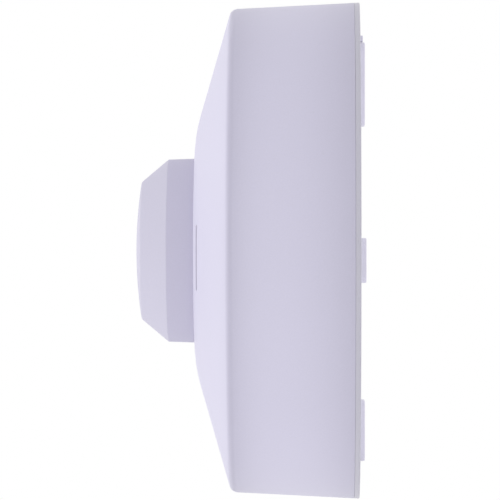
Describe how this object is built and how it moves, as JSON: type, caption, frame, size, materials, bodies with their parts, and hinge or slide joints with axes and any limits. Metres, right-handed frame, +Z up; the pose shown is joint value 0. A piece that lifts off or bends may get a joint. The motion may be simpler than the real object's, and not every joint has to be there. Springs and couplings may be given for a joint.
{
  "type": "microwave motion sensor",
  "caption": "Round surface-mounted microwave motion sensor: a wall base with terminals, and a twist-on head with a conical front and a pull-off centre cap over the trim dials.",
  "frame": {"origin": "the point of the wall plane midway between the fixing slots, on the axis of the round housing", "axes": "+Y points into the wall along the housing's axis, the front faces -Y, and +Z is up"},
  "size_m": [0.115, 0.0529, 0.115],
  "materials": {
    "housing_plastic": "fine-textured cool white plastic",
    "base_plastic": "cool white moulded plastic",
    "grommet_rubber": "soft dark grey rubber",
    "terminal_plastic": "light grey moulded plastic",
    "contact_brass": "bright rolled strip",
    "clamp_metal": "nickel-washed brass",
    "screw_steel": "zinc-plated steel",
    "smoked_window": "smoked clear plastic",
    "circuit_board": "green solder mask on glass fibre",
    "antenna_copper": "gold-washed copper",
    "tinned_steel": "tinned sheet",
    "black_epoxy": "black moulding compound",
    "pot_plastic": "blue moulded plastic",
    "lamp_epoxy": "red diffused epoxy",
    "sensor_epoxy": "clear epoxy",
    "spacer_plastic": "natural nylon",
    "relay_case": "dark moulded case",
    "capacitor_case": "yellow moulded case",
    "capacitor_sleeve": "dark shrink sleeve",
    "ferrite": "dark sintered ferrite",
    "varistor_coat": "blue dipped coating",
    "resistor_coat": "grey cement coating",
    "cover_plastic": "cool white moulded plastic",
    "dial_plastic": "grey moulded plastic"
  },
  "bodies": {
    "base": {"base_plate": "base_plastic", "cable_grommet": "grommet_rubber", "terminal_block": "terminal_plastic", "contact_strips": "contact_brass", "wire_clamps": "clamp_metal", "clamp_screws": "screw_steel"},
    "head": {"front_housing": "housing_plastic", "light_window": "smoked_window", "sensor_board": "circuit_board", "antenna_patches": "antenna_copper", "shield_can": "tinned_steel", "microcontroller": "black_epoxy", "trim_pots": "pot_plastic", "status_led": "lamp_epoxy", "light_sensor": "sensor_epoxy", "pin_header": "black_epoxy", "header_pins": "contact_brass", "board_socket": "black_epoxy", "board_spacers": "spacer_plastic", "power_board": "circuit_board", "relay": "relay_case", "suppression_capacitor": "capacitor_case", "smoothing_capacitor": "capacitor_sleeve", "line_choke": "ferrite", "surge_varistor": "varistor_coat", "fuse_resistor": "resistor_coat", "bridge_rectifier": "black_epoxy", "contact_blades": "contact_brass", "head_cover": "cover_plastic", "cover_screws": "screw_steel"},
    "cap": {"centre_cap": "housing_plastic"},
    "sensitivity_dial": {"sensitivity_dial": "dial_plastic"},
    "time_dial": {"time_dial": "dial_plastic"},
    "light_dial": {"light_dial": "dial_plastic"}
  },
  "joints": [
    {"name": "head_twist", "type": "hinge", "parent": "base", "child": "head", "pos_m": [0, -0.0095, 0], "axis": [0, 1, 0], "range_deg": [-15, 0]},
    {"name": "cap_pull", "type": "slide", "parent": "head", "child": "cap", "axis": [0, -1, 0], "range_m": [0, 0.025]},
    {"name": "sensitivity_turn", "type": "hinge", "parent": "head", "child": "sensitivity_dial", "pos_m": [0, -0.03925, 0.0096], "axis": [0, 1, 0], "range_deg": [-135, 135]},
    {"name": "time_turn", "type": "hinge", "parent": "head", "child": "time_dial", "pos_m": [-0.00831, -0.03925, -0.0048], "axis": [0, 1, 0], "range_deg": [-135, 135]},
    {"name": "light_turn", "type": "hinge", "parent": "head", "child": "light_dial", "pos_m": [0.00831, -0.03925, -0.0048], "axis": [0, 1, 0], "range_deg": [-135, 135]}
  ]
}
